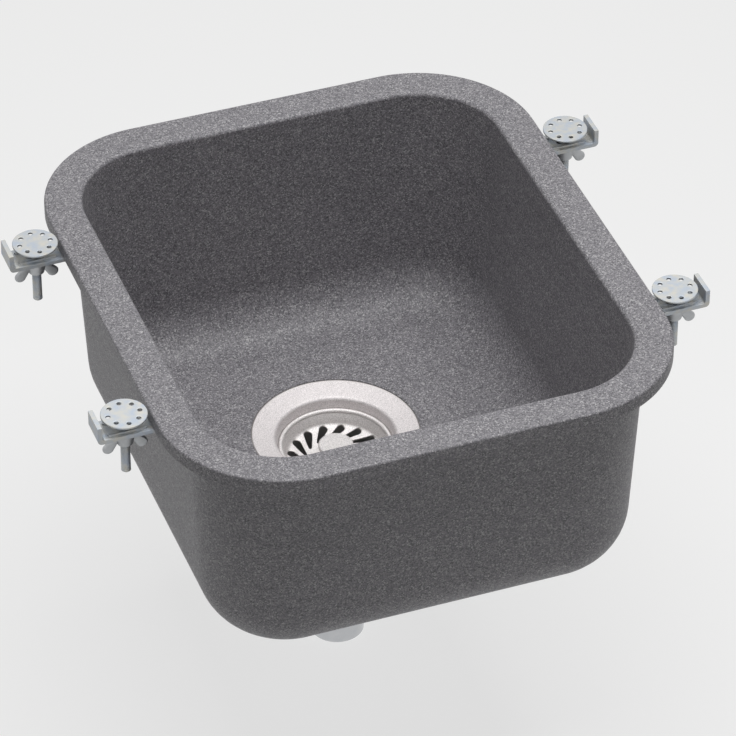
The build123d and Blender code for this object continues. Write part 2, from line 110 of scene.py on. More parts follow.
def seen_white(tree, shown, other):
    """Picks shown for rays from the camera, from reflections and through glass, and other for the light."""
    path = add(tree, "ShaderNodeLightPath").outputs
    seen = path["Is Camera Ray"]
    for kind in ("Is Glossy Ray", "Is Transmission Ray"):
        seen = add(tree, "ShaderNodeMath", {"operation": "MAXIMUM"}, {0: seen, 1: path[kind]}).outputs[0]
    return add(tree, "ShaderNodeMixShader", None, {0: seen, 1: other, 2: shown}).outputs[0]


lamp_data = bpy.data.lights.new("soft_panel", "AREA")
lamp_data.shape = "SQUARE"
lamp_data.size = panel_size
lamp_data.energy = panel_power
lamp = bpy.data.objects.new("soft_panel", lamp_data)
lamp.location = (panel_shift, 0, panel_height)
bpy.context.scene.collection.objects.link(lamp)

room = bpy.data.worlds.new("pale_room")
room.use_nodes = True
bpy.context.scene.world = room
room_tree = room.node_tree
room_tree.nodes.clear()
white = srgb("#ffffff")
room_white = add(room_tree, "ShaderNodeBackground", None, {"Color": white, "Strength": 1.0})
room_fill = add(room_tree, "ShaderNodeBackground", None, {"Color": white, "Strength": room_light})
room_shown = seen_white(room_tree, room_white.outputs[0], room_fill.outputs[0])
add(room_tree, "ShaderNodeOutputWorld", None, {"Surface": room_shown})

bpy.context.scene.view_settings.view_transform = "Standard"


def material(name):
    """New material with its node tree and its Principled shader."""
    made = bpy.data.materials.new(name)
    made.use_nodes = True
    return made, made.node_tree, made.node_tree.nodes["Principled BSDF"]


def stops(ramp, *steps):
    """Sets a colour ramp's stops, each a place from 0 to 1 and a colour."""
    elements = ramp.color_ramp.elements
    while len(elements) < len(steps):
        elements.new(1.0)
    for element, (place, colour) in zip(elements, steps):
        element.position, element.color = place, colour
    return ramp


mm = 0.001
# The drain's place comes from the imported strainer: its axis, and the top edge of its flange
strainer_length = 70 * mm
strainer_low, strainer_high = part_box("strainer_body")
drain_y = round((strainer_low[1] + strainer_high[1]) / 2, 4)
flange_z = round(strainer_low[2] + strainer_length, 4)


# Granite composite: quartz grains in dark grey acrylic resin, cast in a polished mould.
# The eye sees charcoal grey with fine light and dark grains, an even satin gloss and a faint cool cast.
def cast_granite_composite():
    grain_width = 0.75 * mm  # real grains are 0.1 to 0.7 mm; they are drawn a little wider so that they show
    cloud_width = 32 * mm  # slow change of tone, where the grains settled more or less densely
    pit_width, pit_depth = 0.7 * mm, 0.1 * mm
    made, tree, shader = material("cast_granite_composite")
    place = add(tree, "ShaderNodeTexCoord").outputs["Object"]
    grain = add(tree, "ShaderNodeTexVoronoi", None, {"Vector": place, "Scale": 1 / grain_width})
    pick = add(tree, "ShaderNodeSeparateColor", None, {"Color": grain.outputs["Color"]}).outputs
    colour = stops(
        add(tree, "ShaderNodeValToRGB", None, {"Fac": pick["Red"]}),
        (0.00, srgb("#565559")),
        (0.20, srgb("#727075")),
        (0.45, srgb("#848287")),
        (0.62, srgb("#89878b")),
        (0.86, srgb("#9e9c9f")),
        (1.00, srgb("#c8c6c8")),
    )
    cloud = add(tree, "ShaderNodeTexNoise", None, {"Vector": place, "Scale": 1 / cloud_width, "Detail": 3.0})
    ends = {"Value": cloud.outputs["Fac"], "To Min": 0.93, "To Max": 1.07}
    shade = add(tree, "ShaderNodeMapRange", None, ends)
    scaled = {0: colour.outputs["Color"], "Scale": shade.outputs["Result"]}
    tone = add(tree, "ShaderNodeVectorMath", {"operation": "SCALE"}, scaled)
    tree.links.new(tone.outputs["Vector"], shader.inputs["Base Color"])
    gloss = add(tree, "ShaderNodeMapRange", None, {"Value": pick["Green"], "To Min": 0.42, "To Max": 0.62})
    tree.links.new(gloss.outputs["Result"], shader.inputs["Roughness"])
    pits = add(tree, "ShaderNodeTexNoise", None, {"Vector": place, "Scale": 1 / pit_width, "Detail": 2.0})
    relief = {"Height": pits.outputs["Fac"], "Strength": 0.25, "Distance": pit_depth}
    bump = add(tree, "ShaderNodeBump", None, relief)
    tree.links.new(bump.outputs["Normal"], shader.inputs["Normal"])
    shader.inputs["IOR"].default_value = 1.5
    return made


def round_drain(tree, place):
    """Distance of a point from the drain's axis, plus its height, so that marks run round flat and upright
    faces alike."""
    to_axis = {"Vector": place, "Location": (0, -drain_y, 0), "Scale": (1, 1, 0)}
    centred = add(tree, "ShaderNodeMapping", {"vector_type": "POINT"}, to_axis)
    radius = add(tree, "ShaderNodeVectorMath", {"operation": "LENGTH"}, {0: centred.outputs["Vector"]})
    height = add(tree, "ShaderNodeSeparateXYZ", None, {"Vector": place}).outputs["Z"]
    terms = {0: radius.outputs["Value"], 1: height}
    return add(tree, "ShaderNodeMath", {"operation": "ADD"}, terms).outputs[0]


# Stainless steel sheet, spun or pressed. Above the height drawn_below it was blasted or tumbled and turned on
# a lathe, so the eye sees an even white-grey sheen there with fine pits and rings round the axis. Below that
# height the steel keeps the smoother skin of the drawn sheet.
def spun_stainless(name, colour, pitted, drawn, roughness, drawn_roughness, drawn_below, spacing, depth):
    pit_width = 0.6 * mm  # real pits are about 0.1 mm; they are drawn wider so that they show
    cloud_width = 9 * mm  # patches where the blasting was a little uneven
    fade = 2 * mm  # height over which the one skin goes over into the other
    swing = 0.08  # how far the rings and the clouds each move the roughness
    made, tree, shader = material(name)
    place = add(tree, "ShaderNodeTexCoord").outputs["Object"]
    turned_marks = {"W": round_drain(tree, place), "Scale": 1 / spacing, "Detail": 3.0}
    rings = add(tree, "ShaderNodeTexNoise", {"noise_dimensions": "1D"}, turned_marks).outputs["Fac"]
    cloud = add(tree, "ShaderNodeTexNoise", None, {"Vector": place, "Scale": 1 / cloud_width, "Detail": 4.0})
    height = add(tree, "ShaderNodeSeparateXYZ", None, {"Vector": place}).outputs["Z"]
    # 0 on the drawn skin below, 1 on the satin skin above
    band = {"Value": height, "From Min": drawn_below - fade, "From Max": drawn_below}
    upper = add(tree, "ShaderNodeMapRange", {"interpolation_type": "SMOOTHSTEP"}, band).outputs["Result"]
    ends = {"Value": upper, "To Min": drawn_roughness - swing, "To Max": roughness - swing}
    smoothest = add(tree, "ShaderNodeMapRange", None, ends).outputs["Result"]
    both = add(tree, "ShaderNodeMath", {"operation": "ADD"}, {0: rings, 1: cloud.outputs["Fac"]})
    added = {0: both.outputs[0], 1: swing, 2: smoothest}
    rough = add(tree, "ShaderNodeMath", {"operation": "MULTIPLY_ADD"}, added)
    tree.links.new(rough.outputs[0], shader.inputs["Roughness"])
    pits = add(tree, "ShaderNodeTexNoise", None, {"Vector": place, "Scale": 1 / pit_width, "Detail": 2.0})
    marks = add(tree, "ShaderNodeMath", {"operation": "ADD"}, {0: rings, 1: pits.outputs["Fac"]})
    strength = add(tree, "ShaderNodeMapRange", None, {"Value": upper, "To Min": 0.06, "To Max": 0.5})
    relief = {"Height": marks.outputs[0], "Strength": strength.outputs["Result"], "Distance": depth}
    bump = add(tree, "ShaderNodeBump", None, relief)
    tree.links.new(bump.outputs["Normal"], shader.inputs["Normal"])
    grain = stops(
        add(tree, "ShaderNodeValToRGB", None, {"Fac": pits.outputs["Fac"]}),
        (0.34, srgb(pitted)),
        (0.62, srgb(colour)),
    )
    # the inputs of a Mix node are two factors, two numbers, two vectors and then its two colours, 6 and 7
    tones = {0: upper, 6: srgb(drawn), 7: grain.outputs["Color"]}
    both_tones = add(tree, "ShaderNodeMix", {"data_type": "RGBA"}, tones)
    tree.links.new(both_tones.outputs[2], shader.inputs["Base Color"])
    shader.inputs["Metallic"].default_value = 1.0
    return made


# Plated, cast and machined metals: a body colour that clouds into a tint, and the grain of their making.
def metal(name, colour, tint, roughness, spread, grain, depth):
    cloud_width = 6 * mm  # patches of tint
    made, tree, shader = material(name)
    place = add(tree, "ShaderNodeTexCoord").outputs["Object"]
    cloud = add(tree, "ShaderNodeTexNoise", None, {"Vector": place, "Scale": 1 / cloud_width, "Detail": 3.0})
    shade = stops(
        add(tree, "ShaderNodeValToRGB", None, {"Fac": cloud.outputs["Fac"]}),
        (0.35, srgb(colour)),
        (0.70, srgb(tint)),
    )
    tree.links.new(shade.outputs["Color"], shader.inputs["Base Color"])
    grains = {"Vector": place, "Scale": 1 / grain, "Detail": 2.0}
    fine = add(tree, "ShaderNodeTexNoise", None, grains).outputs["Fac"]
    ends = {"Value": fine, "To Min": roughness - spread, "To Max": roughness + spread}
    rough = add(tree, "ShaderNodeMapRange", None, ends)
    tree.links.new(rough.outputs["Result"], shader.inputs["Roughness"])
    bump = add(tree, "ShaderNodeBump", None, {"Height": fine, "Strength": 0.4, "Distance": depth})
    tree.links.new(bump.outputs["Normal"], shader.inputs["Normal"])
    shader.inputs["Metallic"].default_value = 1.0
    return made


# Moulded and cut soft materials: dull body colour with the fleck and grain of what they are made from.
def dull(name, colour, fleck, roughness, grain, depth):
    made, tree, shader = material(name)
    place = add(tree, "ShaderNodeTexCoord").outputs["Object"]
    grains = {"Vector": place, "Scale": 1 / grain, "Detail": 4.0}
    fine = add(tree, "ShaderNodeTexNoise", None, grains).outputs["Fac"]
    shade = stops(
        add(tree, "ShaderNodeValToRGB", None, {"Fac": fine}),
        (0.40, srgb(colour)),
        (0.66, srgb(fleck)),
    )
    tree.links.new(shade.outputs["Color"], shader.inputs["Base Color"])
    bump = add(tree, "ShaderNodeBump", None, {"Height": fine, "Strength": 0.5, "Distance": depth})
    tree.links.new(bump.outputs["Normal"], shader.inputs["Normal"])
    shader.inputs["Roughness"].default_value = roughness
    return made


composite = cast_granite_composite()
# strainer flange and cup: blasted to a pale satin, with rings 0.5 mm apart from the lathe
satin_steel = spun_stainless(
    "satin_spun_stainless",
    colour="#eae6e6",
    pitted="#cac6c6",
    drawn="#c4c2c1",
    roughness=0.72,
    drawn_roughness=0.36,
    drawn_below=flange_z - 16 * mm,
    spacing=0.5 * mm,
    depth=0.12 * mm,
)
# basket and knob: pressed, then tumbled, so finer and a little smoother than the flange
bright_steel = spun_stainless(
    "tumbled_pressed_stainless",
    colour="#eae7e6",
    pitted="#c8c5c4",
    drawn="#c8c6c5",
    roughness=0.68,
    drawn_roughness=0.36,
    drawn_below=flange_z - 30 * mm,
    spacing=0.4 * mm,
    depth=0.09 * mm,
)
# chromium over nickel on brass tube and nut: a clean mirror with a hint of haze
chrome = metal(
    "chromed_brass", "#c3c5c8", "#c9cacc", roughness=0.09, spread=0.02, grain=1.2 * mm, depth=0.002 * mm
)
# die-cast zinc: dull grey with a sandy skin
zinc = metal(
    "die_cast_zinc", "#a9abad", "#b7b9bb", roughness=0.50, spread=0.08, grain=0.8 * mm, depth=0.05 * mm
)
# bright zinc plating with a blue passivate: silver that drifts from blue to straw
plated = metal(
    "blue_zinc_plated_steel",
    "#a6adb6",
    "#b8b6af",
    roughness=0.60,
    spread=0.06,
    grain=0.5 * mm,
    depth=0.02 * mm,
)
# free-cutting brass, turned: warm yellow, with the fine marks of the tool
brass = metal(
    "turned_brass", "#c9a45c", "#d3b26c", roughness=0.28, spread=0.06, grain=0.4 * mm, depth=0.008 * mm
)
# black rubber from a mould: soft and dull, with a faint bloom
rubber = dull("moulded_black_rubber", "#1c1c1d", "#272728", roughness=0.62, grain=0.6 * mm, depth=0.03 * mm)
# vulcanised fibre, cut from sheet: brown card with a dry, short grain
fibre = dull("vulcanised_fibre", "#84583a", "#9a6c48", roughness=0.80, grain=0.7 * mm, depth=0.05 * mm)
# natural nylon from a mould: milky white and nearly smooth
nylon = dull("moulded_white_nylon", "#e4e1da", "#ece9e3", roughness=0.38, grain=2.0 * mm, depth=0.01 * mm)
# plumber's putty, squeezed out and wiped: dull grey, slightly lumpy
putty = dull("plumbers_putty", "#8d8a88", "#9a9694", roughness=0.85, grain=1.0 * mm, depth=0.08 * mm)


def eased(corners, steps):
    """Section with rounded corners. Each corner (x, y, radius) becomes an arc that touches both its sides. The
    arc starts and ends radius / tan(half the corner's angle) from the corner, and its centre lies on the
    bisector. One more point on each side, 0.06 of the radius beyond the arc, keeps the shading of the flat
    beside it flat."""
    nearly_straight = 0.9999  # cosine at which a corner counts as straight, so that the tangent stays finite
    corners = np.array(corners, float)
    point, radius = corners[:, :2], corners[:, 2:]
    back, ahead = np.roll(point, 1, 0) - point, np.roll(point, -1, 0) - point
    back_length = np.linalg.norm(back, axis=1, keepdims=True)
    ahead_length = np.linalg.norm(ahead, axis=1, keepdims=True)
    back, ahead = back / back_length, ahead / ahead_length
    cosine = (back * ahead).sum(1, keepdims=True)
    half = np.arccos(np.clip(cosine, -nearly_straight, nearly_straight)) / 2
    reach = radius / np.tan(half)
    bisector = (back + ahead) / np.linalg.norm(back + ahead, axis=1, keepdims=True)
    middle = point + bisector * radius / np.sin(half)
    first, last = point + back * reach - middle, point + ahead * reach - middle
    start = np.arctan2(first[:, 1:], first[:, :1])
    turn = (np.arctan2(last[:, 1:], last[:, :1]) - start + math.pi) % (2 * math.pi) - math.pi
    angle = start + turn * np.linspace(0, 1, steps)
    arc = middle[:, None] + radius[:, None] * np.stack([np.cos(angle), np.sin(angle)], 2)
    margin = 0.06 * radius
    before = point + back * (reach + margin)
    after = point + ahead * (reach + margin)
    return np.concatenate([before[:, None], arc, after[:, None]], 1).reshape(-1, 2)


def turned(radius, height, columns, centre=(0, drain_y), start=0.0):
    """Section carried once round an upright axis: x and y are the centre plus the radius along the angle, and z
    is the height. A radius with a column for each angle gives a shape that changes as it goes round."""
    angle = start + np.linspace(0, 2 * math.pi, columns, endpoint=False)
    radius = np.broadcast_to(np.reshape(radius, (len(height), -1)), (len(height), columns))
    height = np.broadcast_to(np.reshape(height, (len(height), -1)), (len(height), columns))
    return np.stack([centre[0] + radius * np.cos(angle), centre[1] + radius * np.sin(angle), height], 2)


def thread(crest, depth, pitch, low, high, columns):
    """Screw thread between two heights: the radius falls from the crest by the depth times a triangle wave of
    height / pitch less the share of the turn, and the wave fades out over one pitch at each end.
    Returns radii for each height and column, and the heights."""
    rows_per_turn = 8
    rows = int((high - low) / pitch * rows_per_turn)
    height = np.linspace(low, high, rows)[:, None]
    share = np.linspace(0, 1, columns, endpoint=False)
    wave = np.abs(2 * ((height / pitch - share) % 1) - 1)
    fade = np.clip(np.minimum(height - low, high - height) / pitch, 0, 1)
    return crest - depth * wave * fade, height[:, 0]


def skin(name, patches, finish, body, slot, *replaced, sharp=32):
    """Mesh from patches, each a grid of points [row, column] and whether its last row joins its first. The
    last column of a patch always joins its first. Points that coincide are merged, which closes the poles and
    the seams."""
    points, faces, offset = [], [], 0
    for grid, closes in patches:
        rows, columns = grid.shape[:2]
        here = offset + np.arange(rows * columns).reshape(rows, columns)
        above = np.roll(here, -1, 0)
        if not closes:
            here, above = here[:-1], above[:-1]
        quads = np.stack([here, np.roll(here, -1, 1), np.roll(above, -1, 1), above], 2)
        faces.append(quads.reshape(-1, 4))
        points.append(grid.reshape(-1, 3))
        offset += rows * columns
    mesh = bpy.data.meshes.new(name)
    mesh.from_pydata(np.concatenate(points).tolist(), [], np.concatenate(faces).tolist())
    finished(name, mesh, finish, body, slot, *replaced, sharp=sharp)


def finished(name, mesh, finish, body, slot, *replaced, sharp=32):
    """Merges the mesh's coinciding points, shades it smooth up to the sharp angle in degrees, and sets it in
    the frame."""
    same_point, no_edge = 0.001 * mm, 0.0005 * mm
    work = bmesh.new()
    work.from_mesh(mesh)
    bmesh.ops.remove_doubles(work, verts=work.verts, dist=same_point)
    bmesh.ops.dissolve_degenerate(work, edges=work.edges, dist=no_edge)
    work.to_mesh(mesh)
    work.free()
    mesh.shade_smooth()
    mesh.set_sharp_from_angle(angle=math.radians(sharp))
    mesh.materials.append(finish)
    piece = bpy.data.objects.new(name, mesh)
    bpy.context.scene.collection.objects.link(piece)
    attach(piece, body)
    if replaced:
        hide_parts(*replaced)
    return piece


# Bowl: one section carried along the rounded rectangle of the opening, then across the floor to the drain.
# The opening is measured from the middle to its sides, and every height from the rim's top
opening_x, opening_y, corner = 146 * mm, 171.5 * mm, 57 * mm
draft = math.tan(math.radians(3))
wall, floor_thickness, rim_width, rim_thickness = 8 * mm, 10 * mm, 25.4 * mm, 10 * mm
# radii at the drain: where the floor starts to fall, the flange's recess, the hole, and the boss below
funnel_reach, recess_radius, hole_radius, boss_radius = 90.75 * mm, 57.75 * mm, 44.45 * mm, 70 * mm
funnel_fall = 1.5 * mm
bowl_depth = -flange_z - funnel_fall
flat_reach = 12 * mm  # from the core to where the floor is flat and its round has ended
side_points, bend_points = 26, 36

# the core runs round the rectangle of the corners' centres, and facing is the outward direction at its points
corners = np.array([[1, -1], [1, 1], [-1, 1], [-1, -1]]) * [opening_x - corner, opening_y - corner]
ahead_corners = np.roll(corners, -1, 0)
side_share = np.linspace(0, 1, side_points, endpoint=False)[:, None]
bend_share = np.linspace(0, 1, bend_points, endpoint=False)
sides = corners[:, None] + (ahead_corners - corners)[:, None] * side_share
bends = np.repeat(ahead_corners[:, None], bend_points, 1)
core = np.concatenate([sides, bends], 1).reshape(-1, 2)
quarter = np.arange(4)[:, None]
quarters = np.concatenate([quarter + 0 * side_share[:, 0], quarter + bend_share], 1)
facing_angle = quarters.reshape(-1) * math.pi / 2
facing = np.stack([np.cos(facing_angle), np.sin(facing_angle)], 1)


def carried(section):
    """Section points (reach, height) carried along the opening: each point is the core plus the reach along
    the outward direction there."""
    reach, height = section[:, 0, None], section[:, 1, None]
    flat = core + reach[:, :, None] * facing
    return np.concatenate([flat, np.broadcast_to(height[:, :, None], (*flat.shape[:2], 1))], 2)


wall_foot = corner - bowl_depth * draft
under_z = -(bowl_depth + floor_thickness)
floor_round, under_round = 35 * mm, 43 * mm
inside = eased(
    [
        (corner + rim_width, -rim_thickness / 2, 0),
        (corner + rim_width, 0, 1.5 * mm),
        (corner, 0, 3 * mm),
        (wall_foot, -bowl_depth, floor_round),
        (flat_reach, -bowl_depth, 0),
    ],
    steps=20,
)
outside = eased(
    [
        (flat_reach, under_z, 0),
        (corner + wall + under_z * draft, under_z, under_round),
        (corner + wall - rim_thickness * draft, -rim_thickness, 5 * mm),
        (corner + rim_width, -rim_thickness, 0.4 * mm),
        (corner + rim_width, -rim_thickness / 2, 0),
    ],
    steps=16,
)
floor_edge = core + flat_reach * facing
drain_way = floor_edge - [0, drain_y]
drain_way /= np.linalg.norm(drain_way, axis=1, keepdims=True)


def at_drain(radius, height):
    """Rings round the drain's axis, with one point on each line from the axis to the bowl's outline."""
    radius, height = np.array(radius, float)[:, None, None], np.array(height, float)[:, None, None]
    flat = np.array([0, drain_y]) + radius * drain_way
    return np.concatenate([flat, np.broadcast_to(height, (*flat.shape[:2], 1))], 2)


def web(radius, height, rows):
    """Flat floor between the outline and a ring round the drain: straight lines from one to the other."""
    share = np.linspace(0, 1, rows)[:, None, None]
    flat = floor_edge * (1 - share) + (np.array([0, drain_y]) + radius * drain_way) * share
    return np.concatenate([flat, np.full((rows, len(core), 1), height)], 2)


# the floor falls to the recess along an arc of a circle: fall = bend - sqrt(bend ** 2 - run ** 2)
funnel_width = funnel_reach - recess_radius
funnel_bend = (funnel_width**2 + funnel_fall**2) / (2 * funnel_fall)
fall_run = np.linspace(0, funnel_width, 12)
fall = funnel_bend - np.sqrt(funnel_bend**2 - fall_run**2)
flange_radius, flange_thickness = 57.15 * mm, 1.6 * mm
flange_fall = 3.0 / 16.35  # the flange's top falls 3 mm over its width


def flange_under(radius):
    """Height of the underside of the strainer's flange at a radius."""
    return flange_z - flange_thickness - flange_fall * (flange_radius - radius)


putty_depth = 1 * mm
boss_height = 3.5 * mm
boss_under = under_z - boss_height
boss_foot = boss_radius + boss_height * math.tan(math.radians(35))
chamfer = 0.3 * mm
drain_section = np.array(
    [
        (recess_radius, flange_z - chamfer),
        (recess_radius, flange_under(recess_radius) - putty_depth),
        (hole_radius + chamfer, flange_under(hole_radius) - putty_depth),
        (hole_radius, flange_under(hole_radius) - 1.4 * mm),
        (hole_radius, boss_under + chamfer),
        (hole_radius + chamfer, boss_under),
        (boss_radius - 0.5 * mm, boss_under),
        (boss_radius + 0.2 * mm, boss_under + chamfer),
        (boss_foot, under_z),
    ]
)
bowl_grid = np.concatenate(
    [
        carried(inside),
        web(funnel_reach, -bowl_depth, rows=6),
        at_drain(funnel_reach - fall_run, -bowl_depth - fall),
        at_drain(*drain_section.T),
        web(boss_foot, under_z, rows=4)[::-1],
        carried(outside),
    ]
)
skin("cast_bowl", [(bowl_grid, True)], composite, "sink", "granite_composite", "bowl", sharp=38)

# Strainer body: spun flange and cup, threads cut on barrel and neck
barrel_columns = 192
thread_depth = 0.9 * mm
barrel_thread = thread(
    42.6 * mm, thread_depth, 2.1 * mm, flange_z - 41.5 * mm, flange_z - 8.2 * mm, barrel_columns
)
neck_thread = thread(
    23.7 * mm, thread_depth, 2.2 * mm, flange_z - strainer_length, flange_z - 58 * mm, barrel_columns
)


def level(section):
    """Section from millimetres to metres, with its heights, which are measured from the top edge of the
    strainer's flange, set in the frame. Each row is a radius, a height and, where the section is still to be
    eased, a round."""
    section = np.array(section, float) * mm
    section[:, 1] += flange_z
    return section


def rows_of(section, columns):
    """A plain section as radii for every column, with its heights."""
    return np.repeat(section[:, :1], columns, 1), section[:, 1]


body_inside = eased(
    level(
        [
            (44.95, -3.84, 0),  # underside of the flange
            (57.15, -1.6, 0.5),
            (57.15, 0, 0.75),
            (40.8, -3.0, 3.0),  # mouth
            (39.6, -10.2, 3.0),
            (39.6, -13.2, 0.3),  # ledge that the basket's bead rests on
            (37.4, -13.2, 0.5),
            (36.2, -51.0, 5.0),  # foot of the cup's wall
            (28.2, -53.0, 0.5),  # the stopper's seat
            (20.5, -53.0, 0.5),
            (20.5, -61.5, 0),  # ledge under the spider
            (19.0, -61.5, 0),
            (19.0, -70.0, 0.4),  # outlet
            (23.7, -70.0, 0),
        ]
    ),
    steps=10,
)
body_outside = eased(
    level(
        [
            (23.7, -58.0, 0),  # above the neck's thread
            (23.7, -55.5, 0.5),
            (36.2, -55.5, 2.5),  # underside of the cup
            (38.7, -48.0, 2.0),
            (42.6, -42.0, 0),  # below the barrel's thread
        ]
    ),
    steps=6,
)
collar = level([(42.6, -7.1), (43.525, -6.1)])
runs = [
    rows_of(body_inside, barrel_columns),
    neck_thread,
    rows_of(body_outside, barrel_columns),
    barrel_thread,
    rows_of(collar, barrel_columns),
]
strainer_radius, strainer_height = (np.concatenate(parts) for parts in zip(*runs))
strainer_grid = turned(strainer_radius, strainer_height, barrel_columns)
skin("spun_strainer_body", [(strainer_grid, True)], satin_steel, "sink", "stainless_satin", "strainer_body")


def pierced(top, under, inner, outer, count, start, lean, centres, radii, centre, lip, arc, side):
    """Sheet between two rings, with one hole in each of its equal sectors. A hole is the hull of two circles,
    whose centres and radii are given for a sector along x. The sector's border and the hole's edge are each cut
    at four places: the border at its corners, the edge where its outward normal is 55 degrees to either side of
    the hole's axis and of the opposite way. Points run evenly along the arcs and crowd together towards the
    outer ends of the sides, and straight lines join a border point to its edge point. The height is top(radius)
    above and under(radius) below, the edge of the hole dips by the lip, and the sector's sides lean round the
    axis by lean per metre of radius. Arc and side are the numbers of points on a sector's arcs and sides."""
    crowding = 1.6
    edge_samples = 1441
    lip_start = 0.77  # share of the way from the border to the hole at which the sheet starts to dip
    half = math.pi / count
    arc_share = np.linspace(0, 1, arc, False)
    down_share = np.linspace(0, 1, side, False) ** crowding
    up_share = 1 - np.linspace(1, 0, side, False) ** crowding
    share = (arc_share, down_share, arc_share, up_share)
    swing = np.concatenate(
        [
            half * (2 * arc_share - 1),
            0 * down_share + half,
            half * (1 - 2 * arc_share),
            0 * up_share - half,
        ]
    )
    radius = np.concatenate(
        [
            0 * arc_share + outer,
            outer + (inner - outer) * down_share,
            0 * arc_share + inner,
            inner + (outer - inner) * up_share,
        ]
    )
    around = swing + lean * (centres[0][0] - radius)
    border = np.stack([radius * np.cos(around), radius * np.sin(around)], 1)

    centres, radii = np.array(centres), np.array(radii)
    run = centres[0] - centres[1]
    axis = math.atan2(run[1], run[0])
    cut = math.radians(55)
    normal = axis - cut + np.linspace(0, 2 * math.pi, edge_samples)
    direction = np.stack([np.cos(normal), np.sin(normal)], 1)
    furthest = (direction @ centres.T + radii).argmax(1)
    edge = centres[furthest] + radii[furthest, None] * direction
    length = np.concatenate([[0], np.cumsum(np.linalg.norm(np.diff(edge, axis=0), axis=1))])
    cut_normals = axis - cut + np.array([0, 2 * cut, math.pi, math.pi + 2 * cut, 2 * math.pi])
    cuts = np.interp(cut_normals, normal, length)
    place = np.concatenate([cuts[k] + (cuts[k + 1] - cuts[k]) * share[k] for k in range(4)])
    rim = np.stack([np.interp(place, length, edge[:, 0]), np.interp(place, length, edge[:, 1])], 1)

    # rows from the border to the hole, closer together at both
    rows = [0, 0.04, 0.08, 0.13, 0.19, 0.26, 0.34, 0.43, 0.52, 0.61, 0.7, 0.78, 0.86, 0.93, 0.97, 1]
    inward = np.array(rows)[:, None, None]
    flat = border * (1 - inward) + rim * inward
    far = np.linalg.norm(flat, axis=2)
    dip = lip * np.clip((inward[:, :, 0] - lip_start) / (1 - lip_start), 0, 1) ** 2
    above = np.concatenate([flat, (top(far) - dip)[:, :, None]], 2)
    below = np.concatenate([flat, (under(far) + dip / 2)[:, :, None]], 2)[::-1]
    sector = np.concatenate([above, below])
    turn = start + 2 * math.pi / count * np.arange(count)
    cos, sin = np.cos(turn)[:, None, None], np.sin(turn)[:, None, None]
    x = centre[0] + sector[:, :, 0] * cos - sector[:, :, 1] * sin
    y = centre[1] + sector[:, :, 0] * sin + sector[:, :, 1] * cos
    z = np.broadcast_to(sector[:, :, 2], x.shape)
    inner_start = start - half + lean * (centres[0][0] - inner)
    outer_start = start - half + lean * (centres[0][0] - outer)
    return [(grid, False) for grid in np.stack([x, y, z], 3)], inner_start, outer_start, count * arc


# Basket: pressed dish under a rolled bead, with sixteen swirled slots
dish_top = eased(
    level([(2.5, -24.1, 0), (12, -24.1, 30), (33.6, -20.7, 3), (36.65, -11.5, 0)]),
    steps=12,
)
dish_under = eased(
    level([(2.5, -25.1, 0), (12, -25.1, 30), (34.6, -21.7, 4), (37.65, -11.5, 0)]),
    steps=12,
)
# a slot's axis runs from the centre of its wide outer end, swirled out of the radius, to its narrow inner end
slot_swirl = math.radians(32)
slot_run = 12.2 * mm
slot_outer = np.array([30.4 * mm, 0])
slot_inner = slot_outer + slot_run * np.array([-math.cos(slot_swirl), math.sin(slot_swirl)])
inner_far = float(np.linalg.norm(slot_inner))
slot_lean = math.atan2(slot_inner[1], slot_inner[0]) / (slot_outer[0] - inner_far)
ring_in, ring_out = 13.6 * mm, 34.3 * mm
sectors, inner_start, outer_start, dish_columns = pierced(
    top=lambda far: np.interp(far, dish_top[:, 0], dish_top[:, 1]),
    under=lambda far: np.interp(far, dish_under[:, 0], dish_under[:, 1]),
    inner=ring_in,
    outer=ring_out,
    count=16,
    start=math.radians(-3.2),
    lean=slot_lean,
    centres=(slot_outer, slot_inner),
    radii=(3.0 * mm, 1.3 * mm),
    centre=(0, drain_y),
    lip=0.22 * mm,
    arc=28,
    side=24,
)


def part_of(section, low, high):
    """The stretch of a section between two radii, with its height worked out at both ends."""
    held = section[(section[:, 0] > low) & (section[:, 0] < high)]
    ends = np.array([(r, np.interp(r, section[:, 0], section[:, 1])) for r in (low, high)])
    return np.concatenate([ends[:1], held, ends[1:]])


# the bead's section is a circle, open where the wall runs into it
bead_place = np.array([37.65 * mm, flange_z - 11.5 * mm])
bead_radius = 1.6 * mm
bead_angle = np.radians(np.linspace(250, -110, 28))
bead = bead_place + bead_radius * np.stack([np.cos(bead_angle), np.sin(bead_angle)], 1)
bead = bead[(bead_angle < math.radians(225)) & (bead_angle > math.radians(-95))]
wall_up = part_of(dish_top, ring_out, 36.2 * mm)
wall_down = part_of(dish_under, ring_out, 37.2 * mm)
rim_rows = np.concatenate([wall_down, bead[::-1], wall_up[::-1]])
stem_hole = 2.6 * mm
hub_rows = np.concatenate(
    [part_of(dish_top, stem_hole, ring_in)[::-1], part_of(dish_under, stem_hole, ring_in)]
)
skin(
    "pressed_basket",
    [
        *sectors,
        (turned(*rim_rows.T, dish_columns, start=outer_start), False),
        (turned(*hub_rows.T, dish_columns, start=inner_start), False),
    ],
    bright_steel,
    "basket",
    "stainless_satin",
    "basket",
)

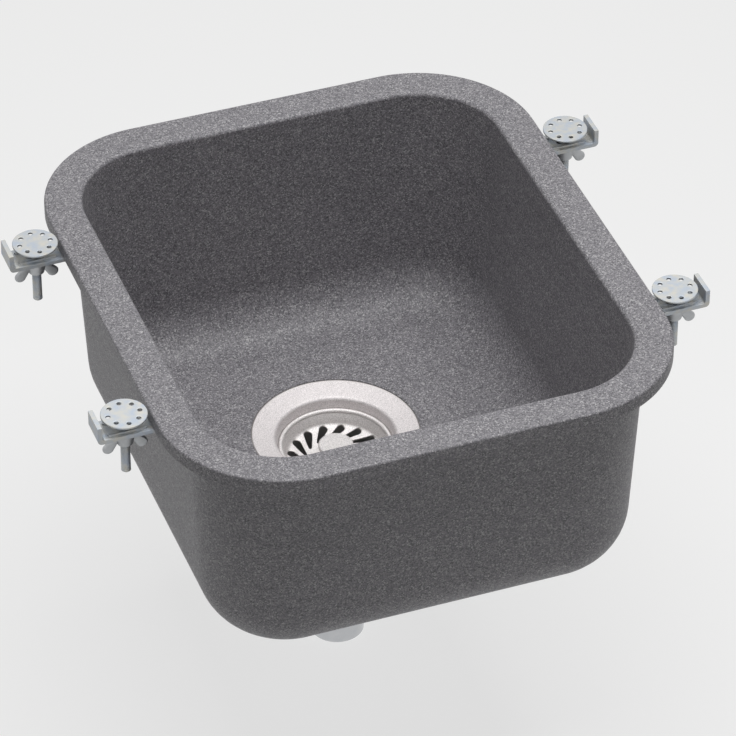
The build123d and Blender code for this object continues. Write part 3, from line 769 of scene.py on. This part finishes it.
# Turned and moulded pieces round the drain's axis. Each row of a section is a corner's distance from the axis,
# its height from the flange's top edge and its round, in millimetres. Then come finish, body, slot and node
ring_columns = 160
round_pieces = {
    "turned_knob": (
        [(0, -15.1, 0), (2.5, -15.1, 0), (2.5, -24.1, 0), (6.6, -24.1, 0.3), (4.6, -22.1, 0)]
        + [(4.6, -15.6, 1.5), (12, -13.6, 0.9), (12, -10, 1.1), (0, -10, 0)],
        bright_steel, "basket", "stainless_satin", "basket_knob",
    ),
    "basket_spindle": (
        [(0, -64.5, 0), (2.5, -62, 0.3), (2.5, -45.42, 0), (4, -45.42, 0.3), (4, -25.1, 0)]
        + [(2.5, -25.1, 0), (2.5, -15.1, 0), (0, -15.1, 0)],
        bright_steel, "basket", "stainless_satin", "basket_stem",
    ),
    "stopper_plate": (
        [(2.58, -45.5, 0), (2.58, -46.7, 0), (18.2, -46.7, 0.3), (18.2, -45.5, 0.4)],
        bright_steel, "stopper", "stainless_satin", "stopper_washer",
    ),
    "rubber_stopper": (
        [(2.58, -46.7, 0), (2.58, -52.7, 0.3), (27.2, -52.7, 0.3), (27.2, -51.2, 0.5), (19.2, -46.7, 2.5)],
        rubber, "stopper", "rubber_black", "stopper",
    ),
    "stem_bearing": (
        [(2.58, -58.4, 0.2), (2.58, -63.1, 0.2), (4.08, -63.1, 0.3), (4.08, -60, 0), (5.68, -60, 0.3)]
        + [(5.68, -58.4, 0.5)],
        nylon, "sink", "nylon_white", "stem_bush",
    ),
    "sealing_putty": (
        [(46.65, -3.53, 0.2), (46.65, -4.53, 0.2), (57.15, -2.6, 0.3), (57.7, -2.45, 0.2), (57.7, -0.5, 0.1)]
        + [(57.2, -0.6, 0.1), (57.2, -1.6, 0)],
        putty, "sink", "putty", "flange_putty",
    ),
    "rubber_ring": (
        [(43.2, -12, 0.4), (43.2, -15.2, 0.4), (60, -15.2, 0.6), (60, -12, 0.6)],
        rubber, "sink", "rubber_black", "rubber_gasket",
    ),
    "fibre_ring": (
        [(43.2, -15.2, 0), (43.2, -16.4, 0), (58, -16.4, 0.15), (58, -15.2, 0.15)],
        fibre, "sink", "fibre", "friction_washer",
    ),
    "nylon_tube_washer": (
        [(16.6, -70, 0.3), (16.6, -82, 0.3), (17.8, -82, 0.3), (17.8, -72, 0.2), (23, -72, 0.3)]
        + [(23, -70, 0.3)],
        nylon, "sink", "nylon_white", "tailpiece_washer",
    ),
    "chromed_tube": (
        [(17.85, -72, 0.2), (17.85, -173.6, 0.3), (19.05, -173.6, 0.4), (19.05, -73.5, 0.8), (23, -73.5, 0.4)]
        + [(23, -72, 0.4)],
        chrome, "sink", "chromed_brass", "tailpiece",
    ),
}
for name, (section, finish, body, slot, node) in round_pieces.items():
    profile = eased(level(section), steps=5)
    hollow = section[0][0] > 0
    skin(name, [(turned(*profile.T, ring_columns), hollow)], finish, body, slot, node)


def softened(name, node, finish, body, slot, width):
    """Copy of a solid whose flat faces are made whole again and whose edges get a small round."""
    flat_angle, edge_angle = math.radians(0.4), math.radians(40)
    mesh = nodes[node].data.copy()
    mesh.materials.clear()
    piece = finished(name, mesh, finish, body, slot, node)
    work = bmesh.new()
    work.from_mesh(piece.data)
    bmesh.ops.dissolve_limit(work, angle_limit=flat_angle, verts=work.verts, edges=work.edges)
    work.to_mesh(piece.data)
    work.free()
    ease = piece.modifiers.new("eased_edges", "BEVEL")
    ease.width, ease.segments = width, 2
    ease.limit_method, ease.angle_limit = "ANGLE", edge_angle
    ease.harden_normals = True


# Nuts and spider at the drain: their solids have the right shape, and their edges are eased
softened("cast_locknut", "locknut", zinc, "sink", "cast_zinc", 0.5 * mm)
softened("chromed_slip_nut", "coupling_nut", chrome, "sink", "chromed_brass", 0.5 * mm)
softened("punched_spider", "strainer_crossbar", satin_steel, "sink", "stainless_satin", 0.2 * mm)
softened("brass_stem_nut", "stem_nut", brass, "basket", "brass", 0.25 * mm)


def wing_lobe(hand, x, y, top):
    """One wing of a wing nut: its outline is the hull of two circles in an upright plane, and its edge is a
    half round. From one flat face to the other, as an angle goes from 0 to 180 degrees, the outline is drawn in
    by half the thickness times 1 - sine, while the depth is half the thickness times the cosine."""
    centres = np.array([(5.2, -3.4), (11.2, -11)]) * mm
    radii = np.array([2.4, 3.8]) * mm
    outline_points, edge_rows = 64, 9
    normal = np.linspace(0, 2 * math.pi, outline_points, endpoint=False)
    direction = np.stack([np.cos(normal), np.sin(normal)], 1)
    furthest = (direction @ centres.T + radii).argmax(1)
    edge = centres[furthest] + radii[furthest, None] * direction
    half = 1.3 * mm
    bend = np.linspace(0, math.pi, edge_rows)[:, None]
    flat = edge - half * (1 - np.sin(bend))[:, :, None] * direction
    depth = np.broadcast_to(half * np.cos(bend), (edge_rows, outline_points))
    middle = np.broadcast_to(centres.mean(0), (1, outline_points, 2))
    flat = np.concatenate([middle, flat, middle])
    depth = np.concatenate([depth[:1], depth, depth[-1:]])
    grid = np.stack([x + hand * flat[:, :, 0], y - hand * depth, top + flat[:, :, 1]], 2)
    return grid[::-1]


# Clip sets: stud on a perforated pad, slotted clip, washer and wing nut, two on each long side. Heights are
# from the rim's top, and the pad's holes lie between its inner and outer radius
stud_x, stud_y = 187.4 * mm, 95 * mm
stud_radius, stud_pitch, stud_thread_depth = 3.175 * mm, 1.27 * mm, 0.68 * mm
pad_thickness, pad_inner, pad_outer = 1.5 * mm, 7.6 * mm, 13.3 * mm
pad_hole, pad_hole_radius = np.array([10.5 * mm, 0]), 1.6 * mm
pad_rim = np.array([(13.3, -1.5), (14.7, -1.5), (15, -1.2), (15, -0.3), (14.7, 0), (13.3, 0)]) * mm
pad_face = np.array([(7.6, 0), (0, 0)]) * mm
stud_tip = np.array([(0, -46), (2.375, -46), (3.0, -45.3)]) * mm
stud_weld = np.array([(3.175, -3.3), (3.9, -3.1), (4.33, -3), (5.2, -1.5), (7.6, -1.5)]) * mm
ring_section = eased(
    np.array([(3.255, -13, 0), (3.255, -14.6, 0), (8, -14.6, 0.3), (8, -13, 0.3)]) * mm, steps=4
)
hub_section = eased(
    np.array([(3.255, -14.62, 0.4), (3.255, -23.6, 0.4), (5.2, -23.6, 0.8), (7, -14.62, 0.4)]) * mm, steps=5
)
wing_top = -14.6 * mm
hub_columns = 64

for side_name, hand in (("left", -1), ("right", 1)):
    for row_name, row in (("front", -1), ("back", 1)):
        place = f"{row_name}_{side_name}"
        stud = (hand * stud_x, row * stud_y)

        holes, hole_in, hole_out, pad_columns = pierced(
            top=lambda far: 0 * far,
            under=lambda far: 0 * far - pad_thickness,
            inner=pad_inner,
            outer=pad_outer,
            count=8,
            start=0.0,
            lean=0.0,
            centres=(pad_hole, pad_hole),
            radii=(pad_hole_radius, pad_hole_radius),
            centre=stud,
            lip=0.12 * mm,
            arc=10,
            side=8,
        )
        shaft = thread(stud_radius, stud_thread_depth, stud_pitch, -45.2 * mm, -3.4 * mm, pad_columns)
        runs = [rows_of(stud_tip, pad_columns), shaft, rows_of(stud_weld, pad_columns)]
        rod_radius, rod_height = (np.concatenate(parts) for parts in zip(*runs))
        skin(
            f"threaded_stud_{place}",
            [
                *holes,
                (turned(*pad_rim.T, pad_columns, stud, hole_out), False),
                (turned(*pad_face.T, pad_columns, stud, hole_in), False),
                (turned(rod_radius, rod_height, pad_columns, stud, hole_in), False),
            ],
            plated,
            "sink",
            "zinc_plated_steel",
            f"stud_{place}",
        )

        softened(
            f"stamped_clip_{place}",
            f"clip_{place}",
            plated,
            f"clip_{place}",
            "zinc_plated_steel",
            0.35 * mm,
        )

        skin(
            f"flat_washer_{place}",
            [(turned(*ring_section.T, hub_columns, stud), True)],
            plated,
            f"clip_washer_{place}",
            "zinc_plated_steel",
            f"clip_washer_{place}",
        )

        skin(
            f"cast_wing_nut_{place}",
            [
                (turned(*hub_section.T, hub_columns, stud), True),
                (wing_lobe(1, *stud, wing_top), False),
                (wing_lobe(-1, *stud, wing_top), False),
            ],
            zinc,
            f"wing_nut_{place}",
            "zinc_plated_steel",
            f"wing_nut_{place}",
        )

# Floor: plain and pale, at the sink's lowest point
span = 6.0  # metres from the middle to its sides
floor_z = cad_box[0][2]
floor_corners = [(x * span, y * span, floor_z) for x, y in ((-1, -1), (1, -1), (1, 1), (-1, 1))]
floor_mesh = bpy.data.meshes.new("floor")
floor_mesh.from_pydata(floor_corners, [], [(0, 1, 2, 3)])
floor = bpy.data.objects.new("floor", floor_mesh)
bpy.context.scene.collection.objects.link(floor)
# white studio paper: matt, and lifted most of the way to white where it is seen, so that a soft shadow stays
paper, paper_tree, paper_shader = material("white_studio_paper")
paper_shader.inputs["Base Color"].default_value = srgb("#f4f4f3")
paper_shader.inputs["Roughness"].default_value = 0.9
paper_shader.inputs["Specular IOR Level"].default_value = 0.0
lift = 0.7
glow = add(paper_tree, "ShaderNodeEmission", None, {"Color": white, "Strength": 1.0})
lifted = {0: lift, 1: paper_shader.outputs[0], 2: glow.outputs[0]}
blend = add(paper_tree, "ShaderNodeMixShader", None, lifted)
# clear from below, so that the drain fittings can be looked at through the floor
underneath = add(paper_tree, "ShaderNodeNewGeometry").outputs["Backfacing"]
clear = add(paper_tree, "ShaderNodeBsdfTransparent").outputs[0]
paper_shown = seen_white(paper_tree, blend.outputs[0], paper_shader.outputs[0])
surface = add(paper_tree, "ShaderNodeMixShader", None, {0: underneath, 1: paper_shown, 2: clear})
paper_tree.links.new(surface.outputs[0], paper_tree.nodes["Material Output"].inputs["Surface"])
floor_mesh.materials.append(paper)
